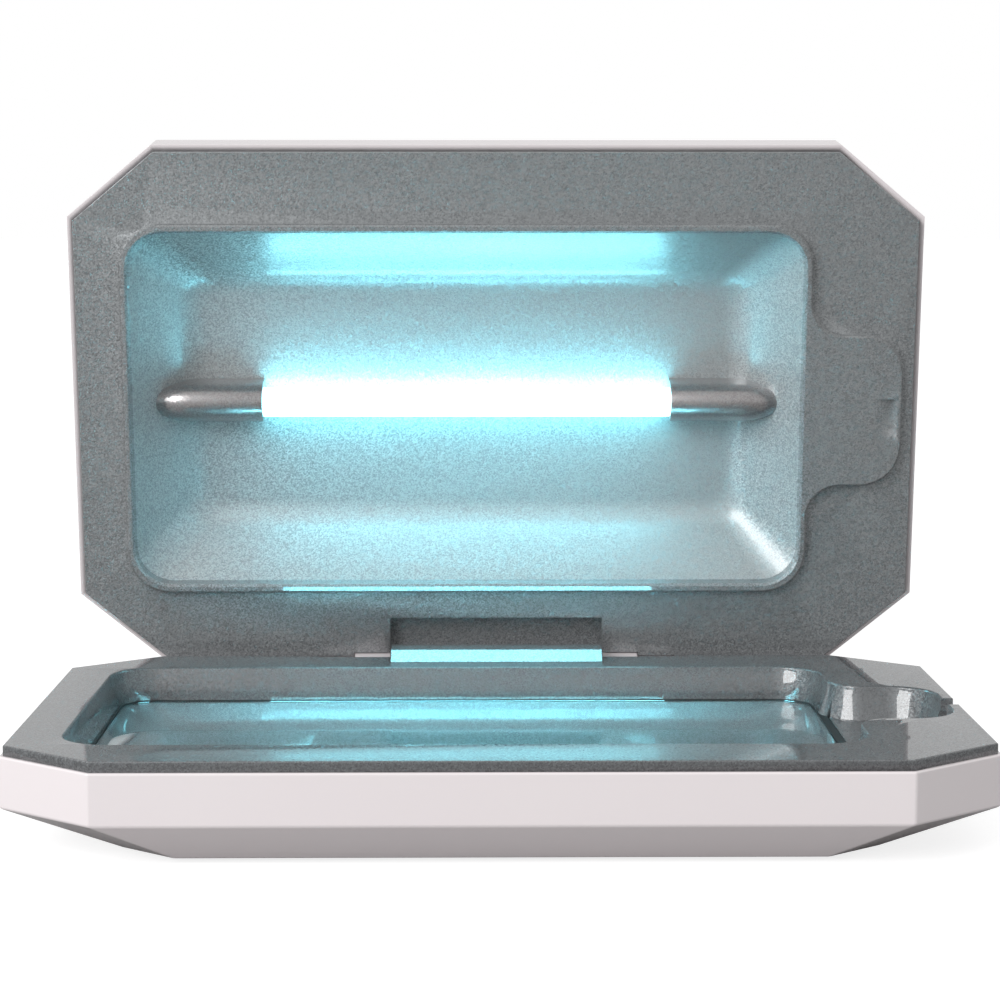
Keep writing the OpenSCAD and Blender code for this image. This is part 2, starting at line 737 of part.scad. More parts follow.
module lid_bezel() {
    color(silver) difference() {
        union() {
            deck(lid_rim_step);
            // Lip with a rounded edge
            for (a = [0:18:90]) prism(lip_outline(-lip_edge * (1 - cos(a))), rim_z - 0.1,
                rim_z + lip_h - lip_edge * (1 - sin(a)));
            block([-pocket_half - 1.4, pocket_y - 1.4, rim_z - pocket_depth - 1.4],
                [pocket_half + 1.4, half_d - shell_t - 0.2, shell_rim_z + 0.1]);
            for (x = [-catch_x, catch_x, sensor_x]) peg(x, magnet_y, shell_rim_z - 2, shell_rim_z, 4.2);
        }
        // Chamber opening with a rounded inner edge
        loft([[rounded(opening_l, opening_d, opening_r), shell_rim_z - 1],
            [rounded(opening_l, opening_d, opening_r), rim_z + lip_h - 0.6],
            [rounded(opening_l + 0.6, opening_d + 0.6, opening_r + 0.6), rim_z + lip_h + 0.01]]);
        // Cradle for the cable on the tongue
        translate([0, 6.3, 0]) rotate([90, 0, 0]) linear_extrude(9.5) polygon([
            [98, rim_z + lip_h + 0.01], [102.5, rim_z + lip_h - 1.6], [103.9, rim_z + lip_h + 0.01]
        ]);
        // Pocket for the hinge cover, and notches for the knuckles
        block([-pocket_half, pocket_y, rim_z - pocket_depth], [pocket_half, half_d, rim_z + 1]);
        pair() block([lid_knuckle[0] - 0.3, hinge_y - knuckle_r - 0.3, 0],
            [lid_knuckle[1] + 0.3, hinge_y, rim_z + 1]);
        for (x = [-catch_x, catch_x, sensor_x])
            peg(x, magnet_y, shell_rim_z - 3, shell_rim_z, magnet_r + 0.1);
        for (p = lugs) peg(p[0], p[1], shell_rim_z - 1, shell_rim_z + 1.6, 0.82);
    }
}

module lid_reflector() {
    color(mirror_metal) difference() {
        union() {
            loft([[rounded(opening_l - lid_pan_run + 0.4, opening_d - lid_pan_run + 0.4, 6),
                lid_pan_z - sheet_t],
                [rounded(opening_l + 1.1, opening_d + 1.1, opening_r + 1.1), shell_rim_z - 0.1]]);
            prism(rounded(plate_l + 1.9, plate_d + 1.7, lip_r + 1), shell_rim_z - sheet_t, shell_rim_z);
            for (p = lugs) peg(p[0], p[1], shell_rim_z - sheet_t, shell_rim_z, 2.3);
        }
        loft([[rounded(opening_l - lid_pan_run, opening_d - lid_pan_run, 5), lid_pan_z],
            [rounded(opening_l + 0.1, opening_d + 0.1, opening_r), shell_rim_z + 0.1]]);
        translate([chamber_x, 0, 0]) pair() bar_x(tube_half, 90, 0, lid_lamp_z, boot_r + 0.1);
        for (p = lugs) peg(p[0], p[1], shell_rim_z - 2, shell_rim_z + 1, 1);
    }
}

module lid_lamp_tube() {
    color(lamp_glow) lamp_tube(lid_lamp_z);
}

// A cover trimmed to the inside of the lid's reflector
module lid_lamp_cap(side) {
    color(steel) intersection() {
        lamp_cap(side, lid_lamp_z, lid_cap_r, lid_pan_z);
        loft([[rounded(opening_l - lid_pan_run - 0.1, opening_d - lid_pan_run, 5), lid_pan_z],
            [rounded(opening_l - 0.1, opening_d, opening_r), shell_rim_z]]);
    }
}

module lid_lamp_boots() {
    color(dark) lamp_boots(lid_lamp_z);
}

// Leads of the lid, from each end of the lamp to the hinge knuckles
module lid_wiring() {
    left_end = chamber_x - boot_end;
    right_end = chamber_x + boot_end;
    color(wire_colour) {
        wire([[left_end, 0, lid_lamp_z], [left_end - 3, 0, lid_lamp_z], [-97, 6, lid_lamp_z],
            [-97, 44, lid_lamp_z],
            [-84, 58, lid_lamp_z], [-38, 60, lid_lamp_z], [-33, 63, 15]], 0.7);
        wire([[right_end, 0, lid_lamp_z], [right_end + 3, 0, lid_lamp_z], [88, 6, lid_lamp_z],
            [94, 40, lid_lamp_z],
            [80, 58, lid_lamp_z], [38, 60, lid_lamp_z], [33, 63, 15]], 0.7);
    }
}

module lid_magnets() {
    color(steel) for (x = [-catch_x, catch_x, sensor_x])
        peg(x, magnet_y, shell_rim_z - 1.9, shell_rim_z, magnet_r);
}

module lid_reflector_screws() {
    color(steel) for (p = lugs) screw(p[0], p[1], shell_rim_z - sheet_t, 2.2, 0.8, 1.6, 0.9);
}

module indicator_board() {
    color(board_green) block([-7, -53, floor_z + 1.4], [7, -43, floor_z + 2.4]);
    color(white) block([-1.4, -49.4, floor_z + 0.5], [1.4, -46.6, floor_z + 1.4]);
    color(white) for (x = [-5.6, 5.6]) peg(x, -48, floor_z, floor_z + 1.4, 0.9);
}

module indicator_lens() {
    color(glass_tint) peg(0, -48, foot_h, floor_z + 0.3, 2.5);
}

in_base() base_shell();
in_base() base_bezel();
in_base() hinge_cover();
in_base() base_reflector();
in_base() quartz_plate();
in_base() plate_gasket();
in_base() base_lamp_tube();
in_base() base_lamp_cap(-1);  // base_lamp_cap_left
in_base() base_lamp_cap(1);  // base_lamp_cap_right
in_base() base_lamp_boots();
in_base() driver_board();
in_base() driver_transformers();
in_base() driver_capacitors();
in_base() power_inlet();
in_base() charging_board();
in_base() usb_socket_a();
in_base() usb_socket_c();
in_base() wire_connectors();
in_base() base_wiring();
in_base() lid_sensor_board();
in_base() catch_plates();
in_base() hinge_pin_left();
in_base() hinge_pin_right();
in_base() hinge_washers();
in_base() foot_front_left();
in_base() foot_front_right();
in_base() foot_back_left();
in_base() foot_back_right();
in_base() housing_screws();
in_base() base_reflector_screws();
in_base() board_screws();
in_lid() lid_shell();
in_lid() lid_bezel();
in_lid() lid_reflector();
in_lid() lid_lamp_tube();
in_lid() lid_lamp_cap(-1);  // lid_lamp_cap_left
in_lid() lid_lamp_cap(1);  // lid_lamp_cap_right
in_lid() lid_lamp_boots();
in_lid() lid_wiring();
in_lid() lid_magnets();
in_lid() lid_reflector_screws();
in_lid() indicator_board();
in_lid() indicator_lens();
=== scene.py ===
# A clamshell ultraviolet sanitiser box: two eight-sided plastic halves on a friction hinge,
# each with a flake-silver frame and chamber and a lit germicidal tube.
import json
import math

import bmesh
import bpy
from mathutils import Matrix, Vector


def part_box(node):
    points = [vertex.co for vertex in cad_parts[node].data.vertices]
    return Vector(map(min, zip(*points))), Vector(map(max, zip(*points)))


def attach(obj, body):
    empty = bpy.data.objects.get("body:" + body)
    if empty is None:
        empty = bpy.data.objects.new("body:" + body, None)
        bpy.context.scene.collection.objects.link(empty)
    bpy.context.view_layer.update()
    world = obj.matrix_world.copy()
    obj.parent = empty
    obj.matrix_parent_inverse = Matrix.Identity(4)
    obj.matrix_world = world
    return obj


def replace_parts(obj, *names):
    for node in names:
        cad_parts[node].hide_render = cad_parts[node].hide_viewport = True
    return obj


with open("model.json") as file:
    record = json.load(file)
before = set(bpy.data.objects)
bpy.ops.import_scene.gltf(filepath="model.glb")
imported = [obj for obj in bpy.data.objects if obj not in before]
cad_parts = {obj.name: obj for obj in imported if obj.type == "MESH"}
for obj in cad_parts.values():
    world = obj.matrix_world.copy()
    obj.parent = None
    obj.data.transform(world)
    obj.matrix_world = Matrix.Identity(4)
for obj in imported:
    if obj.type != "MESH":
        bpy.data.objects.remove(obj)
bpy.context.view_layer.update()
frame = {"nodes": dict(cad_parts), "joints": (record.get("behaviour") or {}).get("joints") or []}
scene = bpy.context.scene
MM = 0.001


# ---- Camera, stage and light ----
# A long lens above the rim looks slightly down at the open box. The box stands on a white sweep
# under one big soft key from the front left, inside a white surround.
SHELL_LOW, SHELL_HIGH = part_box("base_shell")
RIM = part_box("base_bezel")[1].z
HALF_D = 68.5 * MM
BASE_Y = SHELL_LOW.y + HALF_D
# The camera stands off from the middle of the base at rim height
CAMERA_LEFT = 6.48 * MM
CAMERA_BACK = 609.9 * MM
CAMERA_UP = 113.6 * MM
CAMERA_PITCH = 83.9
CAMERA_YAW = -0.63

camera_data = bpy.data.cameras.new("camera")
camera_data.lens = 93.6
camera_data.sensor_width = 36
camera_data.clip_end = 20
camera = bpy.data.objects.new("camera", camera_data)
camera.location = (-CAMERA_LEFT, BASE_Y - CAMERA_BACK, RIM + CAMERA_UP)
camera.rotation_euler = (math.radians(CAMERA_PITCH), 0, math.radians(CAMERA_YAW))
scene.collection.objects.link(camera)
scene.camera = camera
scene.view_settings.view_transform = "Standard"


def linear(hex_colour):
    """An sRGB hex colour as a linear RGBA tuple."""
    parts = [int(hex_colour[i:i + 2], 16) / 255 for i in (1, 3, 5)]
    return tuple(c / 12.92 if c <= 0.04045 else ((c + 0.055) / 1.055) ** 2.4 for c in parts) + (1,)


def add(tree, kind, links=(), **settings):
    """Adds a node with its properties and input values, and links its inputs."""
    made = tree.nodes.new(kind)
    for key, value in settings.items():
        name = key.replace("_", " ")
        socket = next((s for s in made.inputs if s.name == name and s.enabled), None)
        if hasattr(made, key) and (socket is None or key == "operation"):
            setattr(made, key, value)
        else:
            socket.default_value = value
    for name, source in dict(links).items():
        tree.links.new(made.inputs[name], source)
    return made


def finish_of(name):
    """An empty material, with its node tree and its shader."""
    material = bpy.data.materials.new(name)
    material.use_nodes = True
    tree = material.node_tree
    return material, tree, tree.nodes["Principled BSDF"]


def put(name, mesh, body=None, material=None):
    """Links a mesh as an object at the origin, riding on a body."""
    made = bpy.data.objects.new(name, mesh)
    scene.collection.objects.link(made)
    if material:
        mesh.materials.clear()
        mesh.materials.append(material)
    if body:
        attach(made, body)
    return made


# How strongly the surround lights things, beside the plain white that the camera sees
SURROUND_LIGHT = 0.7
# What the sweep adds to its own paint for the camera, so that it reads as white
PAPER_LIFT = 0.8
FLOOR_HALF = 60
KEY_PLACE = (-1.2, -1.3, 0.9)
KEY_AIM = (0, 0, 0.05)
KEY_SIZE = (1.2, 0.9)
KEY_POWER = 26

world = bpy.data.worlds.new("surround")
scene.world = world
world.use_nodes = True
world_tree = world.node_tree
backdrop = world_tree.nodes["Background"]
backdrop.inputs["Color"].default_value = linear("#ffffff")
rays = add(world_tree, "ShaderNodeLightPath")
level = add(world_tree, "ShaderNodeMapRange", {"Value": rays.outputs["Is Camera Ray"]},
            To_Min=SURROUND_LIGHT, To_Max=1.0)
world_tree.links.new(backdrop.inputs["Strength"], level.outputs["Result"])

paper, paper_tree, paper_shader = finish_of("white sweep paper")
paper_shader.inputs["Base Color"].default_value = linear("#a0a0a0")
paper_shader.inputs["Roughness"].default_value = 0.9
paper_shader.inputs["Emission Color"].default_value = linear("#ffffff")
backlit = add(paper_tree, "ShaderNodeLightPath")
lift = add(paper_tree, "ShaderNodeMath", operation="MULTIPLY")
paper_tree.links.new(lift.inputs[0], backlit.outputs["Is Camera Ray"])
lift.inputs[1].default_value = PAPER_LIFT
paper_tree.links.new(paper_shader.inputs["Emission Strength"], lift.outputs[0])
floor_mesh = bpy.data.meshes.new("floor")
corners = [(x * FLOOR_HALF, y * FLOOR_HALF, 0) for x, y in ((-1, -1), (1, -1), (1, 1), (-1, 1))]
floor_mesh.from_pydata(corners, [], [(0, 1, 2, 3)])
put("floor", floor_mesh, material=paper)


def softbox(name, place, target, size, power):
    """A large area light aimed at a point."""
    data = bpy.data.lights.new(name, "AREA")
    data.shape = "RECTANGLE"
    data.size, data.size_y = size
    data.energy = power
    made = bpy.data.objects.new(name, data)
    made.location = place
    made.rotation_euler = (Vector(target) - Vector(place)).to_track_quat("-Z", "Y").to_euler()
    scene.collection.objects.link(made)


softbox("key", KEY_PLACE, KEY_AIM, KEY_SIZE, KEY_POWER)

# ---- The lid's own frame ----
# The lid is the base's twin turned over. Its pieces are drawn lying on their backs, in the base's
# coordinates, and this matrix turns them over, shuts them on the base and swings them open.
hinge = frame["joints"][0]
OPEN = -math.radians(hinge["range_deg"][0])
PIVOT = Vector(hinge["pos_m"])
SHUT_GAP = 0.3 * MM
TURN = Matrix.Rotation(OPEN, 4, Vector(hinge["axis"]))
SWING = Matrix.Translation(PIVOT) @ TURN @ Matrix.Translation(-PIVOT)
LID = SWING @ Matrix.Translation((0, 0, 2 * RIM + SHUT_GAP)) @ Matrix.Scale(-1, 4, (0, 0, 1))
BASE = Matrix.Identity(4)


# ---- White shells ----
# Each half is an injection-moulded ABS tray, polished white, with a small radius on every edge.
# The moulding shows as soft ripples in the gloss and a faint grain close up.
CUT_X = 22 * MM
CUT_Y = 18.4 * MM
HALF_W = SHELL_HIGH.x
CUT_SUM = HALF_W / CUT_X + HALF_D / CUT_Y - 1
CUT_RATE = math.hypot(1 / CUT_X, 1 / CUT_Y)
SHELL_RADIUS = 0.7 * MM


def inset_of(point):
    """How far a point lies inside the eight-sided outline, seen from above."""
    x, y = abs(point.x), abs(point.y - BASE_Y)
    return min(HALF_W - x, HALF_D - y, (CUT_SUM - x / CUT_X - y / CUT_Y) / CUT_RATE)


def softened(name, node, place, body, material, radius, chosen, segments=3, merged=True):
    """A copy of a moulded part with its chosen convex edges rounded, standing for the CAD node."""
    bm = bmesh.new()
    bm.from_mesh(frame["nodes"][node].data)
    bmesh.ops.remove_doubles(bm, verts=bm.verts, dist=0.003 * MM)
    bmesh.ops.transform(bm, matrix=place.inverted(), verts=bm.verts)
    flipped = place.determinant() < 0
    if flipped:
        bmesh.ops.reverse_faces(bm, faces=bm.faces)
    if merged:
        bmesh.ops.dissolve_limit(bm, angle_limit=math.radians(0.5), verts=bm.verts, edges=bm.edges)
    bm.normal_update()
    edges = [
        e for e in bm.edges
        if e.is_manifold and e.is_convex and e.calc_face_angle() > math.radians(15)
        and chosen((e.verts[0].co + e.verts[1].co) / 2, e)
    ]
    bmesh.ops.bevel(bm, geom=edges, offset=radius, segments=segments, profile=0.5, affect="EDGES",
                    clamp_overlap=True)
    if flipped:
        bmesh.ops.reverse_faces(bm, faces=bm.faces)
    bmesh.ops.transform(bm, matrix=place, verts=bm.verts)
    bmesh.ops.triangulate(bm, faces=[f for f in bm.faces if len(f.verts) > 4])
    mesh = bpy.data.meshes.new(name)
    bm.to_mesh(mesh)
    bm.free()
    mesh.shade_smooth()
    mesh.set_sharp_from_angle(angle=math.radians(28))
    made = put(name, mesh, body, material)
    flats = made.modifiers.new("flat faces stay flat", "WEIGHTED_NORMAL")
    flats.keep_sharp = True
    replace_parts(made, node)
    return made


white_abs, tree, shader = finish_of("moulded white ABS")
shader.inputs["Roughness"].default_value = 0.22
shader.inputs["IOR"].default_value = 1.54
shader.inputs["Coat Weight"].default_value = 0.3
shader.inputs["Coat Roughness"].default_value = 0.06
place = add(tree, "ShaderNodeTexCoord")
cloud = add(tree, "ShaderNodeTexNoise", {"Vector": place.outputs["Object"]}, Scale=18, Detail=3)
tint = add(tree, "ShaderNodeMix", {"Factor": cloud.outputs["Fac"]}, data_type="RGBA")
tint.inputs[6].default_value = linear("#e9e1e3")
tint.inputs[7].default_value = linear("#ece5e6")
tree.links.new(shader.inputs["Base Color"], tint.outputs[2])
# Moulding grain about 0.4 mm across, only a micron deep
grain = add(tree, "ShaderNodeTexNoise", {"Vector": place.outputs["Object"]}, Scale=2500, Detail=1)
bump = add(tree, "ShaderNodeBump", {"Height": grain.outputs["Fac"]}, Strength=0.05, Distance=0.00002)
tree.links.new(shader.inputs["Normal"], bump.outputs["Normal"])


def shell_edge(middle, edge):
    """The long edges on the outside of a shell."""
    return edge.calc_length() > 5 * MM and (inset_of(middle) < 0.8 * MM or middle.z < 10.4 * MM)


softened("base_shell_moulding", "base_shell", BASE, "base", white_abs, SHELL_RADIUS, shell_edge)
softened("lid_shell_moulding", "lid_shell", LID, "lid", white_abs, SHELL_RADIUS, shell_edge)


# ---- Silver frames ----
# The rim frames and chambers are ABS sprayed with a fine aluminium flake under clear lacquer, so
# they are dull grey with a sparkle, and mirror the lamps sharply at the surface of the lacquer.
FLAKE = 0.32 * MM
FRAME_RADIUS = 0.3 * MM
HOUSING_RADIUS = 0.25 * MM


def flake_silver(name, dark, pale, roughness, metallic, tilt=0.4, lacquer=0.02):
    """Aluminium-flake paint: each flake tips its own way under a flat clear coat."""
    material, tree, shader = finish_of(name)
    place = add(tree, "ShaderNodeTexCoord")
    cells = add(tree, "ShaderNodeTexVoronoi", {"Vector": place.outputs["Object"]}, Scale=1 / FLAKE)
    shade = add(tree, "ShaderNodeSeparateColor", {"Color": cells.outputs["Color"]})
    tone = add(tree, "ShaderNodeMix", {"Factor": shade.outputs["Red"]}, data_type="RGBA")
    tone.inputs[6].default_value = linear(dark)
    tone.inputs[7].default_value = linear(pale)
    tree.links.new(shader.inputs["Base Color"], tone.outputs[2])
    lean = add(tree, "ShaderNodeVectorMath", {"Vector": cells.outputs["Color"]}, operation="SUBTRACT")
    lean.inputs[1].default_value = (0.5, 0.5, 0.5)
    less = add(tree, "ShaderNodeVectorMath", {"Vector": lean.outputs[0]}, operation="SCALE")
    less.inputs["Scale"].default_value = tilt
    face = add(tree, "ShaderNodeNewGeometry")
    tip = add(tree, "ShaderNodeVectorMath", operation="ADD")
    tree.links.new(tip.inputs[0], face.outputs["Normal"])
    tree.links.new(tip.inputs[1], less.outputs[0])
    unit = add(tree, "ShaderNodeVectorMath", {"Vector": tip.outputs[0]}, operation="NORMALIZE")
    tree.links.new(shader.inputs["Normal"], unit.outputs[0])
    shader.inputs["Metallic"].default_value = metallic
    shader.inputs["Roughness"].default_value = roughness
    shader.inputs["Coat Weight"].default_value = 1
    shader.inputs["Coat Roughness"].default_value = lacquer
    shader.inputs["Coat IOR"].default_value = 1.6
    return material


rim_silver = flake_silver("flake-silver lacquer", "#6f7274", "#a0a4a6", 0.5, 0.6)
# One paint on both frames; the base's copy is darker as painted shade, as it is seen nearly along its face
deck_silver_painted_shade = flake_silver("flake-silver lacquer darkened as painted shade", "#585a5c", "#7f8284", 0.5, 0.6)
chamber_silver = flake_silver("flake-silver chamber lacquer", "#8a9092", "#b4babc", 0.5, 0.35,
                              lacquer=0.22)
trough_silver = flake_silver("flake-silver trough lacquer", "#8a9092", "#b4babc", 0.5, 0.35)


def frame_edge(middle, edge):
    """The outer edges of a frame."""
    return inset_of(middle) < 2 * MM and edge.calc_length() > 1 * MM and middle.z > RIM - 0.05 * MM


# The base's frame wears the darker copy of the paint, whose darkness is painted shade
softened("base_frame", "base_bezel", BASE, "base", deck_silver_painted_shade, FRAME_RADIUS, frame_edge, merged=False)
softened("lid_frame", "lid_bezel", LID, "lid", rim_silver, FRAME_RADIUS, frame_edge, merged=False)
softened("hinge_housing", "hinge_cover", BASE, "base", rim_silver, HOUSING_RADIUS, lambda middle, edge: True)


# ---- Chambers ----
# The lid's chamber and the base's trough are thin pans with 45-degree and shallow walls that
# blend into the back with a wide radius, and a flange that is screwed behind the frame.
CHAMBER_X = -7.7 * MM
PAN_SHEET = 0.8 * MM
# Half length, half depth and corner radius of the flange, and of the lid chamber's mouth and back
FLANGE = (91 * MM, 50.2 * MM, 12 * MM)
LID_MOUTH = (87 * MM, 46.4 * MM, 9.5 * MM)
LID_BACK = (72.4 * MM, 31.8 * MM, 6 * MM)


def rounded_ring(half_l, half_d, radius, z, steps=10):
    """A rounded rectangle about the chamber's centre, as points."""
    points = []
    for sx, sy, start in ((1, -1, -90), (1, 1, 0), (-1, 1, 90), (-1, -1, 180)):
        centre = Vector((CHAMBER_X + sx * (half_l - radius), BASE_Y + sy * (half_d - radius), z))
        for i in range(steps + 1):
            a = math.radians(start + 90 * i / steps)
            points.append(centre + radius * Vector((math.cos(a), math.sin(a), 0)))
    return points


def skin(name, rings, place):
    """A surface through rings of equal count, closed over the last, facing up in its drawing."""
    bm = bmesh.new()
    rows = [[bm.verts.new(place @ p) for p in ring] for ring in rings]
    count = len(rows[0])
    flipped = place.determinant() < 0
    for low, high in zip(rows, rows[1:]):
        for i in range(count):
            quad = [low[i], low[(i + 1) % count], high[(i + 1) % count], high[i]]
            bm.faces.new(quad if not flipped else quad[::-1])
    bm.faces.new(rows[-1] if not flipped else rows[-1][::-1])
    bmesh.ops.remove_doubles(bm, verts=bm.verts, dist=0.001 * MM)
    mesh = bpy.data.meshes.new(name)
    bm.to_mesh(mesh)
    bm.free()
    mesh.shade_smooth()
    mesh.set_sharp_from_angle(angle=math.radians(50))
    return mesh


def wall_path(run, drop, radius, steps=8):
    """A wall's section: over its edge, straight down its slope and round its fillet to the floor."""
    slope = math.atan2(drop, run)
    tangent = radius * math.tan(slope / 2)
    fillet = [
        (-(run + tangent) + radius * math.sin(slope * (1 - i / steps)),
         -drop + radius * (1 - math.cos(slope * (1 - i / steps))))
        for i in range(steps + 1)
    ]
    foot_out, foot_down = fillet[0]
    straight = [(foot_out * t, foot_down * t) for t in (0.03, 0.06, 0.5, 0.94, 0.98)]
    return [(0.12 * MM, 0.12 * MM), (0, 0)] + straight + fillet


def rings_along(path, run, opening, floor, top_z):
    """Rounded rectangles that follow a wall's section from the opening to the floor."""
    (ol, od, orad), (_, bd, brad) = opening, floor
    rings = []
    for out, down in path:
        t = min(1, max(0, -out / run))
        radius = orad + (brad - orad) * t
        rings.append(rounded_ring(ol + out, od + out * (od - bd) / run, radius, top_z + down))
    return rings


def pan(name, node, rings, place, body, material):
    """A pan of sheet thickness with a flange round its top, standing for its CAD node."""
    flange = rounded_ring(*FLANGE, rings[0][0].z)
    made = put(name, skin(name, [flange] + rings, place), body, material)
    thick = made.modifiers.new("sheet", "SOLIDIFY")
    thick.thickness = PAN_SHEET
    thick.offset = -1
    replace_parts(made, node)
    return made


DECK_BACK = RIM - 2.4 * MM
LID_FLOOR = RIM - 17 * MM
LID_RUN = 14.6 * MM
lid_path = wall_path(LID_RUN, DECK_BACK - LID_FLOOR, 10 * MM)
lid_rings = rings_along(lid_path, LID_RUN, LID_MOUTH, LID_BACK, DECK_BACK - 0.1 * MM)
pan("lid_chamber", "lid_reflector", lid_rings, LID, "lid", chamber_silver)

# The base's trough has sloped ends, and long walls that stand nearly upright over a shallow slope
PLATE_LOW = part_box("quartz_plate")[0].z
BASE_FLOOR = 4 * MM
KNEE = 9 * MM
trough_rings = [
    rounded_ring(87.5 * MM, 47.3 * MM, 9.1 * MM, PLATE_LOW - 0.05 * MM),
    rounded_ring(87.4 * MM, 47.2 * MM, 9 * MM, PLATE_LOW - 0.15 * MM),
    rounded_ring(86.9 * MM, 47.19 * MM, 8.9 * MM, PLATE_LOW - 0.4 * MM),
    rounded_ring(78.2 * MM, 47.11 * MM, 7.3 * MM, KNEE + 0.8 * MM),
    rounded_ring(76.6 * MM, 46.9 * MM, 7 * MM, KNEE),
    rounded_ring(75.9 * MM, 45.6 * MM, 7 * MM, KNEE - 0.5 * MM),
    rounded_ring(72.2 * MM, 35 * MM, 6 * MM, BASE_FLOOR + 1.6 * MM),
    rounded_ring(70.3 * MM, 28 * MM, 5 * MM, BASE_FLOOR + 0.2 * MM),
    rounded_ring(69.5 * MM, 26 * MM, 5 * MM, BASE_FLOOR),
]
pan("base_trough", "base_reflector", trough_rings, BASE, "base", trough_silver)


# ---- Quartz plate and gasket ----
# What is being treated lies on a ground and polished quartz plate, bedded on a dark gasket.
quartz, tree, shader = finish_of("polished quartz")
shader.inputs["Base Color"].default_value = linear("#f4fdff")
shader.inputs["Transmission Weight"].default_value = 1
shader.inputs["Roughness"].default_value = 0.0
shader.inputs["IOR"].default_value = 1.46
frame["nodes"]["quartz_plate"].data.materials[0] = quartz

gasket_rubber, tree, shader = finish_of("black silicone gasket")
shader.inputs["Base Color"].default_value = linear("#1c2426")
shader.inputs["Roughness"].default_value = 0.6
frame["nodes"]["plate_gasket"].data.materials[0] = gasket_rubber


# ---- Lamps ----
# Cold-cathode germicidal tubes of thin quartz glow white with a cyan cast. Their ends plug into
# silicone boots, under round-nosed silver covers that stand on the chamber's back.
BASE_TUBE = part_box("base_lamp_tube")
LAMP_R = (BASE_TUBE[1].z - BASE_TUBE[0].z) / 2
LAMP_HALF = (BASE_TUBE[1].x - BASE_TUBE[0].x) / 2
LAMP_SHARP = 40
BASE_LAMP = ((BASE_TUBE[0].y + BASE_TUBE[1].y) / 2, (BASE_TUBE[0].z + BASE_TUBE[1].z) / 2)
LID_LAMP = (BASE_Y, RIM - 10.6 * MM)
# Emission strengths as given. The base's is the stronger only to make its mirror images show
LID_GLOW = 13
BASE_GLOW = 30


def lit_tube(name, strength):
    """A glowing quartz tube whose discharge is a shade uneven along its length."""
    material, tree, shader = finish_of(name)
    shader.inputs["Base Color"].default_value = linear("#e8fdff")
    shader.inputs["Emission Strength"].default_value = strength
    shader.inputs["Roughness"].default_value = 0.1
    place = add(tree, "ShaderNodeTexCoord")
    banding = add(tree, "ShaderNodeTexNoise", {"Vector": place.outputs["Object"]}, Scale=60, Detail=1)
    cast = add(tree, "ShaderNodeMix", {"Factor": banding.outputs["Fac"]}, data_type="RGBA")
    cast.inputs[6].default_value = linear("#84ecff")
    cast.inputs[7].default_value = linear("#93f0ff")
    tree.links.new(shader.inputs["Emission Color"], cast.outputs[2])
    return material


glow = {"lid": lit_tube("lit germicidal tube", LID_GLOW),
        "base": lit_tube("lit lower germicidal tube", BASE_GLOW)}


def closed(mesh, angle):
    """Caps a mesh's open ends, points its faces outwards and sets its sharp edges."""
    bm = bmesh.new()
    bm.from_mesh(mesh)
    bmesh.ops.holes_fill(bm, edges=[e for e in bm.edges if e.is_boundary])
    bmesh.ops.recalc_face_normals(bm, faces=bm.faces)
    bm.to_mesh(mesh)
    bm.free()
    mesh.shade_smooth()
    mesh.set_sharp_from_angle(angle=math.radians(angle))
    return mesh


def turned(name, profile, place, axis, steps=40):
    """A solid turned about a lamp's line from (distance along, radius) pairs."""
    angles = [2 * math.pi * i / steps for i in range(steps)]
    rings = []
    for along, radius in profile:
        x = CHAMBER_X + along
        rings.append([Vector((x, axis[0] + radius * math.cos(a), axis[1] + radius * math.sin(a)))
                      for a in angles])
    return closed(skin(name, rings, place), LAMP_SHARP)


END_ROUND = 2 * MM
tube_end = [(-LAMP_HALF + END_ROUND * (1 - math.cos(a)), LAMP_R - END_ROUND * (1 - math.sin(a)))
            for a in (math.pi / 2 * i / 5 for i in range(6))]
tube_profile = tube_end + [(-along, radius) for along, radius in reversed(tube_end)]
for half, place, axis in (("lid", LID, LID_LAMP), ("base", BASE, BASE_LAMP)):
    tube = put(half + "_tube", turned(half + "_tube", tube_profile, place, axis), half, glow[half])
    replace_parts(tube, half + "_lamp_tube")

COVER_START = 53.5 * MM
# Radius, far end and length of the nose of the lid's covers and of the base's
LID_COVER = (5.1 * MM, 84.5 * MM, 12 * MM)
BASE_COVER = (4.4 * MM, 75 * MM, 8 * MM)
satin = flake_silver("satin silver cover", "#938f90", "#aeabab", 0.32, 0.85, 0.12)


def cover(half, hand, side, place, axis, sizes, foot):
    """A round-nosed cover on straight sides, standing on the chamber's back."""
    radius, end, nose = sizes
    name = half + "_cover_" + hand
    rings = []
    steps = 14
    spans = [COVER_START, COVER_START + 0.15 * MM, COVER_START + 0.5 * MM]
    spans += [end - nose + nose * math.sin(math.pi / 2 * i / 12) for i in range(13)]
    for k, along in enumerate(spans):
        t = max(0, (along - (end - nose)) / nose)
        r = radius * max(0.01, 1 - t ** 2) ** 0.7
        # The first two sections are smaller, which rounds the cover's open end
        r -= (0.35 * MM, 0.1 * MM)[k] if k < 2 else 0
        x = CHAMBER_X + side * along
        ring = [Vector((x, axis[0] - r, foot))]
        for i in range(steps + 1):
            a = math.pi * (1 - i / steps)
            ring.append(Vector((x, axis[0] + r * math.cos(a), axis[1] + r * math.sin(a))))
        ring.append(Vector((x, axis[0] + r, foot)))
        rings.append(ring)
    mesh = closed(skin(name, rings, place), LAMP_SHARP)
    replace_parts(put(name, mesh, half, satin), half + "_lamp_cap_" + hand)


for side, hand in ((-1, "left"), (1, "right")):
    cover("lid", hand, side, LID, LID_LAMP, LID_COVER, LID_FLOOR)
    cover("base", hand, side, BASE, BASE_LAMP, BASE_COVER, BASE_FLOOR)


def dressed(nodes, material):
    """Gives CAD pieces their finish."""
    for node in nodes:
        frame["nodes"][node].data.materials[0] = material


